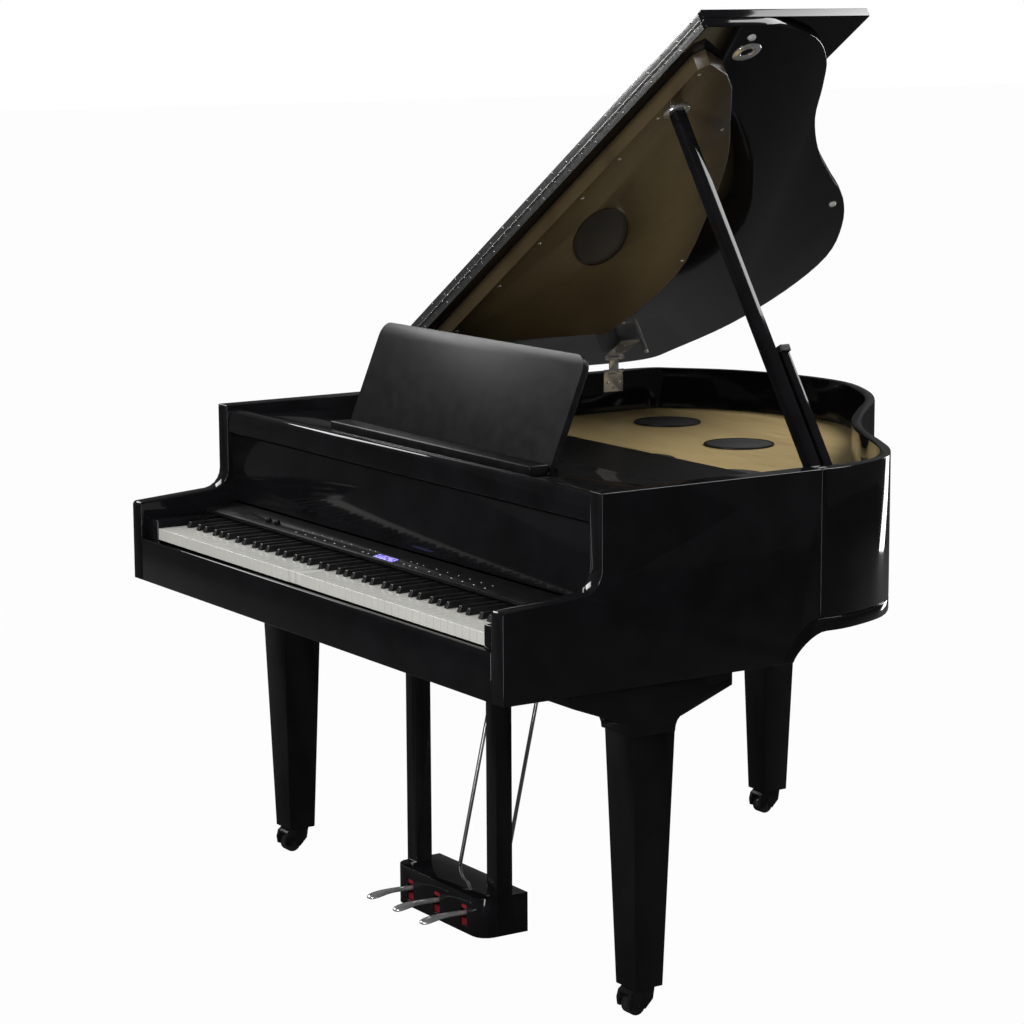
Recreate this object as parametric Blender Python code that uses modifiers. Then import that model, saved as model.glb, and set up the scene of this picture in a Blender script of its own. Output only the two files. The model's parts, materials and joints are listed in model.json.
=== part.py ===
"""Digital grand piano with its lid on the long prop.

Metres, +Z up. X runs from the bass side to the treble side and Y from the player to the tail.
While it is built, x = 0 is the middle of the case, y = 0 the front of its arms and z = 0 the floor.
At the end one empty moves everything, so that the origin is the middle of the whole on the floor.
"""
import math

import bmesh
import bpy
from mathutils import Matrix, Vector

# Clearances
GAP = 0.0003
KEY_GAP = 0.001
BOARD_FIT = 0.0008

# Case
CASE_WIDTH = 1.3936
HALF = CASE_WIDTH / 2
PANEL_WALL = 0.038
RIM_WALL = 0.020
CASE_BOTTOM = 0.611
RIM_TOP = 0.954
BOARD_BOTTOM = 0.660
BOARD_THICK = 0.025
SEAM_Y = 0.672
TAIL_END = 1.487
TAIL_LENGTH = TAIL_END - SEAM_Y
STEP_FRONT = 0.592
STEP_UNDER_FRONT = 0.613
STEP_UNDER_BACK = 0.686
INNER = HALF - PANEL_WALL
FITTED = INNER - GAP

# The tail's plan, as shares of the half width and of the tail's length
TAIL_SHAPE = [(1.0, 0.0), (0.9945, 0.0896), (0.9386, 0.2184), (0.8324, 0.3117), (0.689, 0.384),
              (0.521, 0.4589), (0.3444, 0.5706), (0.1909, 0.6982), (0.0416, 0.827),
              (-0.1335, 0.9276), (-0.337, 0.9939), (-0.5597, 0.9816), (-0.775, 0.9117),
              (-0.9328, 0.8012), (-0.983, 0.7521), (-1.0, 0.648)]
TAIL_STEPS = 4
WALL_BLEND = 0.11
RIGHT_WALL_END = 0.69
SPINE_WALL_END = 1.20

# Arms
ARM_TOP = 0.771
ARM_BACK_TOP = 0.784
ARM_NOSE = 0.008
SCOOP_FRONT = 0.165
SCOOP_BACK = 0.200
SCOOP_TOP = 0.822

# Keyboard
KEY_BED_THICK = 0.024
KEYSLIP_THICK = 0.0145
KEYSLIP_TOP = 0.698
WHITE_COUNT = 52
KEYS_HALF = 0.613
WHITE_PITCH = 2 * KEYS_HALF / WHITE_COUNT
KEY_FRONT = 0.016
WHITE_BOTTOM = 0.700
WHITE_TOP = 0.723
KEY_ROOT = 0.200
KEY_BACK = 0.215
BLACK_FRONT = 0.068
BLACK_TOP = 0.735
BLACK_WIDTH = 0.0115
BLACK_DEEP = 0.712
BLACK_OFFSETS = {"A": 0.0035, "C": -0.0025, "D": 0.0025, "F": -0.0035, "G": 0.0}
MIDDLE_C = 23
BLOCK_TOP = 0.738
KEY_AXIS = Vector((0, 0.2047, 0.7005))

# Control panel
PANEL_FRONT = 0.148
PANEL_BACK = 0.210
PANEL_UNDER = 0.7385
PANEL_LIP = 0.745
PANEL_HIGH = 0.755
PANEL_SLOPE = math.atan2(PANEL_HIGH - PANEL_LIP, PANEL_BACK - PANEL_FRONT)
DISPLAY_X = 0.040
DISPLAY_Y = 0.163
DISPLAY_SIZE = (0.070, 0.016, 0.0012)
KNOB_X = (-0.430, -0.395)
KNOB_Y = 0.170
KNOB_RADIUS = 0.0065
KNOB_TALL = 0.007
STEM_RADIUS = 0.002
STEM_DEEP = 0.005

# Fallboard, standing open
FALL_AXIS = Vector((0, 0.222, 0.770))
FALL_FRONT = 0.212
FALL_BACK = 0.228
FALL_BOTTOM = 0.757
FALL_NOSE_FRONT = 0.202
FALL_NOSE_BOTTOM = 0.900
FALL_TOP = 0.948
FALL_GROOVE = 0.005

# Music shelf and rest
SHELF_TOP = 0.931
SHELF_THICK = 0.006
SHELF_FRONT = 0.232
SHELF_BACK = 0.440
SKIRT_THICK = 0.008
REST_HALF = 0.360
REST_TALL = 0.2156
REST_THICK = 0.014
REST_LEAN = math.radians(22.2)
REST_FOOT = Vector((0, 0.318, 0.942))
REST_CORNER = 0.030
REST_PIN = 0.003
LUG_THICK = 0.0075
LEDGE_FRONT = 0.275
LEDGE_BACK = 0.3172
LEDGE_TOP = 0.951

# Inside
SOUNDBOARD_TOP = 0.865
SOUNDBOARD_THICK = 0.008
SOUNDBOARD_FRONT = 0.420
COVER_THICK = 0.008
COVER_FRONT = 0.425
COVER_BACK = 0.848
GRILLE_RADIUS = 0.0685
GRILLE_THICK = 0.003
GRILLES = ((-0.449, 1.163), (-0.099, 1.092))

# Lid, in its own frame: u across from the hinge edge, y as the case, n up from its underside
LID_ANGLE = math.radians(32.9)
LID_EDGE = Vector((-0.692, 0, 0.968))
LID_THICK = 0.018
LID_FRONT = 0.576
FLAP_DEPTH = 0.379
LEAF_THICK = 0.0012
LEAF_PART = 0.0015
TONE_THICK = 0.033
TONE_FRONT = 0.600
TONE_LEFT = -0.467
TONE_CORNER = (0.625, 0.616)
TONE_EDGE = [(0.587, 0.677), (0.41, 0.797), (0.271, 0.879), (0.111, 0.946), (-0.149, 1.04),
             (-0.311, 1.052), (-0.467, 1.025)]
OVAL_CENTRE = (-0.02, 0.752)
OVAL_HALF = (0.127, 0.054)
OVAL_TURN = math.radians(-28)
OVAL_GRILLE_THICK = 0.003
SOCKET_LOW = (0.465, 0.638)
SOCKET_LOW_RADIUS = 0.026
SOCKET_LOW_FACE = 0.0372
SOCKET_HIGH = (0.614, 0.716)
SOCKET_HIGH_RADIUS = 0.028
SOCKET_HIGH_THICK = 0.004
SOCKET_HOLE = 0.012

# Double-pin hinges on the spine
HINGE_X = -0.655
PIN_LOW = 0.957
PIN_HIGH = 0.985
HINGE_WIDE = 0.052
HINGE_FRONTS = {"front": 0.600, "rear": 1.139}
KNUCKLE = 0.004
KNUCKLE_SHARE = 0.013
PIN_RADIUS = 0.0017
BORE_RADIUS = 0.0021
RIM_LEAF_DROP = 0.043
RIM_LEAF_THICK = 0.0026
LINK_THICK = 0.003
LID_LEAF_FAR = 0.119
LID_LEAF_THICK = 0.0024

# Props
PROP_BASE = Vector((0.645, 0.700, 0.930))
PROP_WIDE = 0.022
SHORT_BASE = Vector((0.645, 0.730, 0.930))
SHORT_LONG = 0.240
SHORT_WIDE = 0.018
PROP_PIN = 0.004
PROP_BORE = 0.0047
BRACKET_FRONT = 0.676
BRACKET_BACK = 0.752
BRACKET_EAR = 0.008
BRACKET_HALF_TALL = 0.012
BRACKET_PLATE = 0.0022
BRACKET_REACH = 0.005

# Legs and casters
LEG_X = 0.628
LEG_Y = 0.327
REAR_LEG = (-0.3125, 1.340)
LEG_TOP = 0.518
LEG_TOP_SIDE = 0.0887
LEG_BOTTOM = 0.052
LEG_BOTTOM_SIDE = 0.060
BLOCK_Y = 0.320
BLOCK_HALF_LONG = 0.1685
BLOCK_INNER = 0.584
BLOCK_OUTER = 0.682
BLOCK_END_LOW = 0.585
BLOCK_SHOULDER = (0.062, 0.545)
BLOCK_NECK = 0.045
CASTER_WIDE = 0.040
CASTER_LEAD = 0.013
CASTER_SLOT = 0.025
WHEEL_RADIUS = 0.018
WHEEL_WIDE = 0.024
WHEEL_SIDES = 20
AXLE_RADIUS = 0.003
AXLE_BORE = 0.0036
AXLE_LONG = 0.037

# Lyre and pedals
LYRE_X = (-0.107, 0.210)
LYRE_Y = (0.260, 0.365)
LYRE_Z = (0.033, 0.110)
LYRE_ROUND = 0.030
POST_WIDE = 0.035
POST_OUT = 0.007
POST_Y = (0.295, 0.330)
PEDALS = {"left": -0.047, "middle": 0.050, "right": 0.148}
PEDAL_AXIS = Vector((0, 0.330, 0.070))
PEDAL_TIP = 0.165
PEDAL_THICK = 0.008
PEDAL_SHAFT = 0.016
PEDAL_PAD = 0.029
SLOT_WIDE = 0.022
SLOT_Z = (0.046, 0.088)
SLOT_BACK = 0.342
PEDAL_PIN = 0.004
ROD_X = {"left": -0.017, "right": 0.137}
ROD_RADIUS = 0.004
ROD_FOOT_Y = 0.356
ROD_HEAD_Y = 0.470

SIDE_PLANE = Matrix(((0, 0, 1, 0), (1, 0, 0, 0), (0, 1, 0, 0), (0, 0, 0, 1)))
PLAN_PLANE = Matrix.Identity(4)
LID_FRAME = Matrix.Translation(LID_EDGE) @ Matrix.Rotation(-LID_ANGLE, 4, "Y")


def clear_scene():
    for item in list(bpy.data.objects):
        bpy.data.objects.remove(item, do_unlink=True)


def add_material(name, colour, roughness, metallic=0.0):
    material = bpy.data.materials.new(name)
    material.use_nodes = True
    shader = material.node_tree.nodes["Principled BSDF"]
    shader.inputs["Base Color"].default_value = (*colour, 1.0)
    shader.inputs["Roughness"].default_value = roughness
    shader.inputs["Metallic"].default_value = metallic
    return material


def add_object(name, mesh, material):
    mesh.materials.clear()
    mesh.materials.append(material)
    item = bpy.data.objects.new(name, mesh)
    PIANO.objects.link(item)
    return item


def finish_mesh(name, bm, material, smooth=False):
    bmesh.ops.recalc_face_normals(bm, faces=bm.faces)
    mesh = bpy.data.meshes.new(name)
    bm.to_mesh(mesh)
    bm.free()
    if smooth:
        mesh.shade_smooth()
        mesh.set_sharp_from_angle(angle=math.radians(35))
    return add_object(name, mesh, material)


def box(name, low, high, material, round_edge=0.0):
    """A box between two corners, with its edges rounded if asked."""
    size = Vector(high) - Vector(low)
    middle = (Vector(high) + Vector(low)) / 2
    bm = bmesh.new()
    bmesh.ops.create_cube(bm, size=1.0, matrix=Matrix.Translation(middle) @ Matrix.Diagonal((*size, 1)))
    item = finish_mesh(name, bm, material)
    if round_edge:
        bevel = item.modifiers.new("round_edge", "BEVEL")
        bevel.width = round_edge
        bevel.segments = 2
    return item


def rod(name, start, end, radius, material, sides=16, turn=0.0):
    """A round bar between two points."""
    start = Vector(start)
    end = Vector(end)
    along = end - start
    spin = Vector((0, 0, 1)).rotation_difference(along).to_matrix().to_4x4()
    place = Matrix.Translation((start + end) / 2) @ spin @ Matrix.Rotation(turn, 4, "Z")
    bm = bmesh.new()
    bmesh.ops.create_cone(bm, cap_ends=True, segments=sides, radius1=radius, radius2=radius,
                          depth=along.length, matrix=place)
    return finish_mesh(name, bm, material, smooth=True)


def bar(name, start, end, width, material):
    """A square bar between two points, with one pair of its sides upright across X and Z."""
    along = (Vector(end) - Vector(start)).normalized()
    across = Vector((0, 1, 0)).cross(along).normalized()
    side = along.cross(across)
    turn = Matrix((across, side, along)).transposed().to_4x4()
    length = (Vector(end) - Vector(start)).length
    place = Matrix.Translation((Vector(start) + Vector(end)) / 2) @ turn
    bm = bmesh.new()
    bmesh.ops.create_cube(bm, size=1.0, matrix=place @ Matrix.Diagonal((width, width, length, 1)))
    return finish_mesh(name, bm, material)


def tapered_leg(name, x, y, top, top_side, bottom, bottom_side, material):
    """A square leg that narrows to its foot."""
    place = Matrix.Translation((x, y, (top + bottom) / 2)) @ Matrix.Rotation(math.pi / 4, 4, "Z")
    bm = bmesh.new()
    bmesh.ops.create_cone(bm, cap_ends=True, segments=4, radius1=bottom_side / math.sqrt(2),
                          radius2=top_side / math.sqrt(2), depth=top - bottom, matrix=place)
    return finish_mesh(name, bm, material)


def plate(name, loops, plane, low, high, material):
    """A flat outline, with any holes, made solid between two places along its plane's normal."""
    curve = bpy.data.curves.new(name, "CURVE")
    curve.dimensions = "2D"
    curve.fill_mode = "BOTH"
    curve.extrude = (high - low) / 2
    for loop in loops:
        spline = curve.splines.new("POLY")
        spline.points.add(len(loop) - 1)
        for point, (across, up) in zip(spline.points, loop):
            point.co = (across, up, 0, 1)
        spline.use_cyclic_u = True
    shape = bpy.data.objects.new(name + "_outline", curve)
    PIANO.objects.link(shape)
    shape.matrix_world = plane @ Matrix.Translation((0, 0, (low + high) / 2))
    bpy.context.view_layer.update()
    mesh = bpy.data.meshes.new_from_object(shape.evaluated_get(bpy.context.evaluated_depsgraph_get()))
    mesh.transform(shape.matrix_world)
    bpy.data.objects.remove(shape, do_unlink=True)
    bm = bmesh.new()
    bm.from_mesh(mesh)
    bpy.data.meshes.remove(mesh)
    bmesh.ops.remove_doubles(bm, verts=bm.verts, dist=0.00001)
    return finish_mesh(name, bm, material, smooth=True)


def combine(target, others, operation):
    """Join or cut the target with other solids, which are used up."""
    for other in others:
        step = target.modifiers.new(operation.lower(), "BOOLEAN")
        step.operation = operation
        step.solver = "EXACT"
        step.object = other
    bpy.context.view_layer.update()
    mesh = bpy.data.meshes.new_from_object(target.evaluated_get(bpy.context.evaluated_depsgraph_get()))
    target.modifiers.clear()
    material = target.data.materials[0]
    mesh.materials.clear()
    mesh.materials.append(material)
    for polygon in mesh.polygons:
        polygon.material_index = 0
    target.data = mesh
    for other in others:
        bpy.data.objects.remove(other, do_unlink=True)
    return target


def trim(item, point, outward):
    """Cut the item flat at a plane and close the cut."""
    bm = bmesh.new()
    bm.from_mesh(item.data)
    geometry = bm.verts[:] + bm.edges[:] + bm.faces[:]
    bmesh.ops.bisect_plane(bm, geom=geometry, plane_co=point, plane_no=outward, clear_outer=True)
    rim = [edge for edge in bm.edges if edge.is_boundary]
    bmesh.ops.contextual_create(bm, geom=rim)
    bmesh.ops.recalc_face_normals(bm, faces=bm.faces)
    bm.to_mesh(item.data)
    bm.free()


def on_lid(item):
    """Take a piece from the lid's own frame to its raised place."""
    item.data.transform(LID_FRAME)
    return item


def smooth_line(points, steps):
    """A smooth curve through the points, straight on at both ends."""
    spare_first = (points[0][0], points[0][1] - (points[1][1] - points[0][1]))
    spare_last = (points[-1][0], points[-1][1] - abs(points[-1][1] - points[-2][1]))
    chain = [spare_first, *points, spare_last]
    line = []
    for before, start, end, after in zip(chain, chain[1:], chain[2:], chain[3:]):
        for step in range(steps):
            t = step / steps
            line.append(tuple(
                0.5 * (2 * b + (c - a) * t + (2 * a - 5 * b + 4 * c - d) * t * t
                       + (3 * b - a - 3 * c + d) * t ** 3)
                for a, b, c, d in zip(before, start, end, after)))
    line.append(points[-1])
    return line


def wall_at(x, y):
    """The rim's thickness, which falls from the side panels' to the bent wall's."""
    start = RIGHT_WALL_END if x > 0 else SPINE_WALL_END
    share = min(max((y - start) / WALL_BLEND, 0.0), 1.0)
    return PANEL_WALL + (RIM_WALL - PANEL_WALL) * share


def tail_line(inside=False, inset=0.0):
    """The tail's outline from the treble side round to the spine, or its inner wall."""
    points = smooth_line([(u * HALF, SEAM_Y + v * TAIL_LENGTH) for u, v in TAIL_SHAPE], TAIL_STEPS)
    points.append((-HALF, SEAM_Y))
    line = []
    for index, (x, y) in enumerate(points):
        before = points[max(index - 1, 0)]
        after = points[min(index + 1, len(points) - 1)]
        along = Vector((after[0] - before[0], after[1] - before[1])).normalized()
        if index in (0, len(points) - 1):
            along = Vector((0, 1 if index == 0 else -1))
        depth = inset + (wall_at(x, y) if inside else 0.0)
        line.append((x - along.y * depth, y + along.x * depth))
    return line


def step_line(start, end, steps=8):
    """The swept step where the case's underside rises behind the keyboard."""
    reach = end[0] - start[0]
    rise = end[1] - start[1]
    near = (start[0] + 0.0625 * reach, start[1] + 0.31 * rise)
    far = (start[0] + 0.6 * reach, end[1])
    line = []
    for step in range(steps + 1):
        t = step / steps
        weights = ((1 - t) ** 3, 3 * t * (1 - t) ** 2, 3 * t * t * (1 - t), t ** 3)
        corners = (start, near, far, end)
        line.append(tuple(sum(w * c[axis] for w, c in zip(weights, corners)) for axis in (0, 1)))
    return line


def arc(centre, radius, first, last, steps):
    """Points of a circle's arc, with its angles in degrees."""
    angles = [math.radians(first + (last - first) * step / steps) for step in range(steps + 1)]
    return [(centre[0] + radius * math.cos(a), centre[1] + radius * math.sin(a)) for a in angles]


def ellipse(centre, half, turn, steps=28):
    line = []
    for step in range(steps):
        angle = 2 * math.pi * step / steps
        point = Matrix.Rotation(turn, 2) @ Vector((half[0] * math.cos(angle), half[1] * math.sin(angle)))
        line.append((centre[0] + point.x, centre[1] + point.y))
    return line


def comb(teeth, front, root, back):
    """The plan of a row of keys joined by the rail behind them."""
    line = []
    for left, right in teeth:
        line.extend([(left, root), (left, front), (right, front), (right, root)])
    line = line[1:-1]
    return [*line, (teeth[-1][1], back), (teeth[0][0], back)]


def white_span(index):
    left = -KEYS_HALF + index * WHITE_PITCH
    return left + KEY_GAP / 2, left + WHITE_PITCH - KEY_GAP / 2


def black_span(index):
    """Left and right of the black key that follows a white key, or None."""
    letter = "ABCDEFG"[index % 7]
    if letter not in BLACK_OFFSETS or index == WHITE_COUNT - 1:
        return None
    middle = -KEYS_HALF + (index + 1) * WHITE_PITCH + BLACK_OFFSETS[letter]
    return middle - BLACK_WIDTH / 2, middle + BLACK_WIDTH / 2


def slot_cutter(name, corners):
    """Several boxes as one cutter."""
    bm = bmesh.new()
    for low, high in corners:
        size = Vector(high) - Vector(low)
        middle = (Vector(high) + Vector(low)) / 2
        bmesh.ops.create_cube(bm, size=1.0, matrix=Matrix.Translation(middle) @ Matrix.Diagonal((*size, 1)))
    return finish_mesh(name, bm, IVORY)


def make_side_panels():
    scoop = arc((SCOOP_BACK - 0.040, SCOOP_TOP), 0.040, 0, -83, 5)
    nose = arc((ARM_NOSE, ARM_TOP - ARM_NOSE), ARM_NOSE, 94, 180, 3)
    step = step_line((STEP_FRONT, CASE_BOTTOM), (SEAM_Y, BOARD_BOTTOM + BOARD_THICK))
    profile = [(0, CASE_BOTTOM), *step, (SEAM_Y, RIM_TOP), (SCOOP_BACK, RIM_TOP), *scoop, *nose]
    plate("left_side_panel", [profile], SIDE_PLANE, -HALF, -INNER, EBONY)
    plate("right_side_panel", [profile], SIDE_PLANE, INNER, HALF, EBONY)


def make_rim():
    outer = tail_line()
    inner = tail_line(inside=True)
    outer[0] = (outer[0][0], SEAM_Y + GAP)
    inner[0] = (INNER, SEAM_Y + GAP)
    outer[-1] = (outer[-1][0], SEAM_Y + GAP)
    inner[-1] = (-INNER, SEAM_Y + GAP)
    loop = outer + inner[::-1]
    plate("bent_rim", [loop], PLAN_PLANE, BOARD_BOTTOM + BOARD_THICK + GAP, RIM_TOP, EBONY)


def make_bottom_board():
    top = BOARD_BOTTOM + BOARD_THICK - GAP
    plan = [(HALF, STEP_FRONT - 0.01), *tail_line(), (-HALF, STEP_FRONT - 0.01)]
    board = plate("bottom_board", [plan], PLAN_PLANE, CASE_BOTTOM - 0.01, top + 0.01, EBONY)
    upper = step_line((STEP_FRONT + 2 * GAP, CASE_BOTTOM), (SEAM_Y + 2 * GAP, top))
    lower = step_line((STEP_UNDER_FRONT, CASE_BOTTOM), (STEP_UNDER_BACK, BOARD_BOTTOM))
    profile = [*lower, (TAIL_END + 0.1, BOARD_BOTTOM), (TAIL_END + 0.1, top), *upper[::-1]]
    shape = plate("board_profile", [profile], SIDE_PLANE, -HALF - 0.1, HALF + 0.1, EBONY)
    combine(board, [shape], "INTERSECT")


def make_key_bed():
    top = CASE_BOTTOM + KEY_BED_THICK
    box("key_bed", (-FITTED, KEYSLIP_THICK + GAP, CASE_BOTTOM), (FITTED, STEP_FRONT - 2 * GAP, top), EBONY)
    box("keyslip", (-FITTED, 0, CASE_BOTTOM), (FITTED, KEYSLIP_THICK, KEYSLIP_TOP), EBONY, 0.002)
    for name, sign in (("left_key_block", -1), ("right_key_block", 1)):
        ends = sorted((sign * (KEYS_HALF + KEY_GAP), sign * FITTED))
        low = (ends[0], KEYSLIP_THICK + GAP, top + GAP)
        box(name, low, (ends[1], KEY_ROOT, BLOCK_TOP), EBONY, 0.0015)


def make_fixed_keys():
    moving = (MIDDLE_C, MIDDLE_C + 1)
    whites = [white_span(index) for index in range(WHITE_COUNT) if index not in moving]
    keys = box("white_keys", (whites[0][0], KEY_FRONT, WHITE_BOTTOM), (whites[-1][1], KEY_BACK, WHITE_TOP),
               IVORY)
    slots = [((this[1], KEY_FRONT - 0.01, WHITE_BOTTOM - 0.01), (following[0], KEY_ROOT, WHITE_TOP + 0.01))
             for this, following in zip(whites, whites[1:])]
    bed = CASE_BOTTOM + KEY_BED_THICK + GAP
    rail = box("key_rail", (-KEYS_HALF + 0.002, KEY_ROOT + 0.003, bed),
               (KEYS_HALF - 0.002, KEY_BACK - 0.0005, (WHITE_BOTTOM + WHITE_TOP) / 2), IVORY)
    combine(keys, [rail], "UNION")
    combine(keys, [slot_cutter("key_slots", slots)], "DIFFERENCE")
    spans = [black_span(index) for index in range(WHITE_COUNT) if index != MIDDLE_C]
    blacks = [span for span in spans if span]
    plate("black_keys", [comb(blacks, BLACK_FRONT, KEY_ROOT, KEY_BACK)], PLAN_PLANE,
          WHITE_TOP + GAP, BLACK_TOP, SHARP)


def make_moving_keys():
    """Middle C, its sharp and the D beside it turn on their own balance rail."""
    back = KEY_ROOT - 0.0005
    notch_front = BLACK_FRONT - 0.0055
    black = black_span(MIDDLE_C)
    left, right = white_span(MIDDLE_C)
    c_plan = [(left, KEY_FRONT), (right, KEY_FRONT), (right, notch_front),
              (black[0] - KEY_GAP, notch_front), (black[0] - KEY_GAP, back), (left, back)]
    left, right = white_span(MIDDLE_C + 1)
    d_plan = [(left, KEY_FRONT), (right, KEY_FRONT), (right, back), (black[1] + KEY_GAP, back),
              (black[1] + KEY_GAP, notch_front), (left, notch_front)]
    plate("key_c4", [c_plan], PLAN_PLANE, WHITE_BOTTOM + 0.0005, WHITE_TOP, IVORY)
    plate("key_d4", [d_plan], PLAN_PLANE, WHITE_BOTTOM + 0.0005, WHITE_TOP, IVORY)
    box("key_c_sharp4", (black[0], BLACK_FRONT, BLACK_DEEP), (black[1], back, BLACK_TOP), SHARP, 0.001)


def panel_point(x, y):
    """A point on the sloping top of the control panel."""
    return Vector((x, y, PANEL_LIP + (y - PANEL_FRONT) * math.tan(PANEL_SLOPE)))


def make_control_panel():
    profile = [(PANEL_FRONT, PANEL_UNDER), (PANEL_BACK, PANEL_UNDER), (PANEL_BACK, PANEL_HIGH),
               (PANEL_FRONT, PANEL_LIP)]
    panel = plate("control_panel", [profile], SIDE_PLANE, -FITTED, FITTED, SATIN)
    slope = Matrix.Rotation(PANEL_SLOPE, 4, "X")
    place = Matrix.Translation(panel_point(DISPLAY_X, DISPLAY_Y)) @ slope
    half = Vector(DISPLAY_SIZE) / 2
    window = box("display", (-half.x, -half.y, -DISPLAY_SIZE[2]), (half.x, half.y, 0), GLOW)
    window.data.transform(place)
    pocket = box("display_pocket", (-half.x - GAP, -half.y - GAP, -DISPLAY_SIZE[2] - GAP),
                 (half.x + GAP, half.y + GAP, 0.005), SATIN)
    pocket.data.transform(place)
    holes = [pocket]
    up = slope.to_3x3() @ Vector((0, 0, 1))
    for name, x in zip(("volume_knob", "tone_knob"), KNOB_X):
        foot = panel_point(x, KNOB_Y)
        holes.append(rod(name + "_hole", foot - up * (STEM_DEEP + 0.002), foot + up * 0.01,
                         STEM_RADIUS + 2 * GAP, SATIN, 12))
        knob = rod(name, foot + up * GAP, foot + up * KNOB_TALL, KNOB_RADIUS, SATIN, 20)
        stem = rod(name + "_stem", foot - up * STEM_DEEP, foot + up * KNOB_TALL / 2, STEM_RADIUS, SATIN, 12)
        combine(knob, [stem], "UNION")
    combine(panel, holes, "DIFFERENCE")


def make_fallboard():
    nose = arc((FALL_NOSE_FRONT + 0.009, FALL_TOP - 0.009), 0.009, 180, 90, 4)
    profile = [(FALL_FRONT, FALL_BOTTOM), (FALL_BACK, FALL_BOTTOM), (FALL_BACK, FALL_TOP), *nose[::-1],
               (FALL_NOSE_FRONT, FALL_NOSE_BOTTOM), (FALL_FRONT + 0.003, FALL_NOSE_BOTTOM),
               (FALL_FRONT + 0.003, FALL_NOSE_BOTTOM - FALL_GROOVE),
               (FALL_FRONT, FALL_NOSE_BOTTOM - FALL_GROOVE)]
    plate("fallboard", [profile], SIDE_PLANE, -FITTED, FITTED, EBONY)


def rest_axis():
    back = Vector((0, math.cos(REST_LEAN), -math.sin(REST_LEAN)))
    return REST_FOOT + back * REST_THICK / 2


def make_music_shelf():
    under = SHELF_TOP - SHELF_THICK
    shelf = box("music_shelf", (-FITTED, SHELF_FRONT, under), (FITTED, SHELF_BACK, SHELF_TOP), EBONY)
    foot = SOUNDBOARD_TOP + COVER_THICK + 2 * GAP
    skirt = box("shelf_skirt", (-FITTED + 0.0005, SHELF_BACK - SKIRT_THICK, foot),
                (FITTED - 0.0005, SHELF_BACK - 0.0005, SHELF_TOP - 0.001), EBONY)
    axis = rest_axis()
    lugs = []
    holes = []
    for sign in (-1, 1):
        ends = sorted((sign * (REST_HALF + 0.0005), sign * (REST_HALF + 0.0005 + LUG_THICK)))
        lugs.append(box("rest_lug", (ends[0], axis.y - 0.007, SHELF_TOP - 0.002),
                        (ends[1], axis.y + 0.007, axis.z + 0.006), EBONY))
        holes.append(rod("lug_hole", (ends[0] - 0.01, axis.y, axis.z), (ends[1] + 0.01, axis.y, axis.z),
                         REST_PIN + 2 * GAP, EBONY, 12))
    combine(shelf, [skirt, *lugs], "UNION")
    combine(shelf, holes, "DIFFERENCE")
    box("music_ledge", (-REST_HALF, LEDGE_FRONT, SHELF_TOP + GAP), (REST_HALF, LEDGE_BACK, LEDGE_TOP),
        SATIN, 0.002)


def make_music_rest():
    corner_x = REST_HALF - REST_CORNER
    corner_y = REST_TALL - REST_CORNER
    outline = [(-REST_HALF, 0), (REST_HALF, 0), *arc((corner_x, corner_y), REST_CORNER, 0, 90, 5),
               *arc((-corner_x, corner_y), REST_CORNER, 90, 180, 5)]
    up = Vector((0, math.sin(REST_LEAN), math.cos(REST_LEAN)))
    front = Vector((1, 0, 0)).cross(up)
    turn = Matrix((Vector((1, 0, 0)), up, front)).transposed().to_4x4()
    axis = rest_axis()
    rest = plate("music_rest", [outline], Matrix.Translation(axis) @ turn, -REST_THICK / 2,
                 REST_THICK / 2, SATIN)
    reach = REST_HALF + LUG_THICK
    pin = rod("rest_pin", (-reach, axis.y, axis.z), (reach, axis.y, axis.z), REST_PIN, SATIN, 12)
    combine(rest, [pin], "UNION")


def make_inside():
    inner = tail_line(inside=True, inset=BOARD_FIT)
    plan = [(FITTED, SOUNDBOARD_FRONT), *inner, (-FITTED, SOUNDBOARD_FRONT)]
    plate("soundboard", [plan], PLAN_PLANE, SOUNDBOARD_TOP - SOUNDBOARD_THICK, SOUNDBOARD_TOP, SPRUCE)
    right = [point for point in inner if point[0] > 0 and point[1] < COVER_BACK]
    last = right[-1]
    right.append((last[0] - 1.2 * (COVER_BACK - last[1]), COVER_BACK))
    cover = [(FITTED, COVER_FRONT), *right, (-FITTED, COVER_BACK), (-FITTED, COVER_FRONT)]
    low = SOUNDBOARD_TOP + GAP
    plate("inner_cover", [cover], PLAN_PLANE, low, low + COVER_THICK, SATIN)
    for number, (x, y) in enumerate(GRILLES, 1):
        rod(f"speaker_grille_{number}", (x, y, low), (x, y, low + GRILLE_THICK), GRILLE_RADIUS, MESH, 32)


def make_lid():
    plan = [(HALF, LID_FRONT), *tail_line()[:-1], (-HALF, LID_FRONT)]
    plan = [(x + HALF, y) for x, y in plan]
    on_lid(plate("lid", [plan], PLAN_PLANE, 0, LID_THICK, EBONY))
    flap_low = LID_THICK + GAP
    on_lid(box("flap", (0, LID_FRONT, flap_low), (CASE_WIDTH, LID_FRONT + FLAP_DEPTH, flap_low + LID_THICK),
               EBONY))
    back = LID_FRONT - GAP
    leaf_low = (0.01, back - LEAF_THICK, 0.0005)
    on_lid(box("lid_edge_leaf", leaf_low, (CASE_WIDTH - 0.01, back, LID_THICK - 0.0005), NICKEL))
    leaf_low = (0.01, back - LEAF_THICK, LID_THICK + 0.0008)
    on_lid(box("flap_edge_leaf", leaf_low, (CASE_WIDTH - 0.01, back, flap_low + LID_THICK - 0.0005), NICKEL))


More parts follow.
